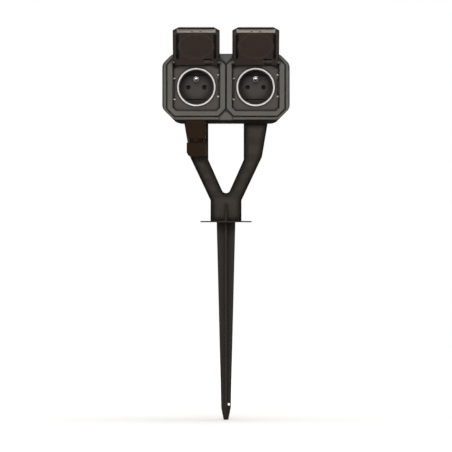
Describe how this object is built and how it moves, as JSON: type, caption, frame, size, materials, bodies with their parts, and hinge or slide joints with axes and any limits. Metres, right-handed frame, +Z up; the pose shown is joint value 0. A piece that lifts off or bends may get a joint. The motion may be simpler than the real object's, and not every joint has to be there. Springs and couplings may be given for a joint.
{
  "type": "garden socket spike",
  "caption": "Outdoor double mains outlet with hinged splash lids on a Y-shaped fork and a cruciform ground spike.",
  "frame": {"origin": "centre of the ground flange's underside, on the spike's axis", "axes": "+Z up along the spike's axis, -Y out of the sockets' front, +X to the right seen from the front"},
  "size_m": [0.1528, 0.1023, 0.4695],
  "materials": {
    "head_plastic": "fine moulded texture, warm black",
    "insert_plastic": "fine moulded texture, warm black",
    "lid_plastic": "fine moulded texture, warm black",
    "fork_plastic": "fine moulded texture, warm black",
    "gland_plastic": "matt black",
    "collar_plastic": "light silver grey, satin",
    "shutter_plastic": "plain dark grey",
    "carrier_plastic": "plain mid grey",
    "seal_rubber": "matt black",
    "screw_steel": "zinc plated",
    "spring_steel": "bright drawn wire",
    "pin_nickel": "nickel plated brass",
    "contact_brass": "stamped strip"
  },
  "bodies": {
    "stand": {"front_cover": "head_plastic", "rear_housing": "head_plastic", "housing_seal": "seal_rubber", "cover_screws": "screw_steel", "socket_insert_left": "insert_plastic", "socket_well_left": "insert_plastic", "socket_floor_left": "insert_plastic", "socket_collar_left": "collar_plastic", "earth_pin_left": "pin_nickel", "contact_carrier_left": "carrier_plastic", "shutter_spring_left": "spring_steel", "hinge_pin_left": "screw_steel", "lid_spring_left": "spring_steel", "socket_insert_right": "insert_plastic", "socket_well_right": "insert_plastic", "socket_floor_right": "insert_plastic", "socket_collar_right": "collar_plastic", "earth_pin_right": "pin_nickel", "contact_carrier_right": "carrier_plastic", "shutter_spring_right": "spring_steel", "hinge_pin_right": "screw_steel", "lid_spring_right": "spring_steel", "line_bus_bar": "contact_brass", "neutral_bus_bar": "contact_brass", "earth_bus_bar": "contact_brass", "terminal_block": "carrier_plastic", "terminal_screws": "screw_steel", "fork": "fork_plastic", "fork_screws": "screw_steel", "spike": "fork_plastic", "spike_screw": "screw_steel", "cable_gland": "gland_plastic", "cable_clamp": "gland_plastic", "clamp_screws": "screw_steel", "cable_seal": "seal_rubber"},
    "lid_left": {"lid_left": "lid_plastic", "lid_seal_left": "seal_rubber"},
    "lid_right": {"lid_right": "lid_plastic", "lid_seal_right": "seal_rubber"},
    "shutter_left": {"shutter_left": "shutter_plastic"},
    "shutter_right": {"shutter_right": "shutter_plastic"}
  },
  "joints": [
    {"name": "lid_left_hinge", "type": "hinge", "parent": "stand", "child": "lid_left", "pos_m": [-0.0355, -0.0315, 0.1914], "axis": [1, 0, 0], "range_deg": [0, 136], "deforming": ["lid_spring_left"]},
    {"name": "lid_right_hinge", "type": "hinge", "parent": "stand", "child": "lid_right", "pos_m": [0.0355, -0.0315, 0.1914], "axis": [1, 0, 0], "range_deg": [0, 136], "deforming": ["lid_spring_right"]},
    {"name": "shutter_left_slide", "type": "slide", "parent": "stand", "child": "shutter_left", "axis": [0, 0, -1], "range_m": [0, 0.0062], "stiffness_N_per_m": 120, "springref_m": -0.005, "deforming": ["shutter_spring_left"]},
    {"name": "shutter_right_slide", "type": "slide", "parent": "stand", "child": "shutter_right", "axis": [0, 0, -1], "range_m": [0, 0.0062], "stiffness_N_per_m": 120, "springref_m": -0.005, "deforming": ["shutter_spring_right"]}
  ]
}
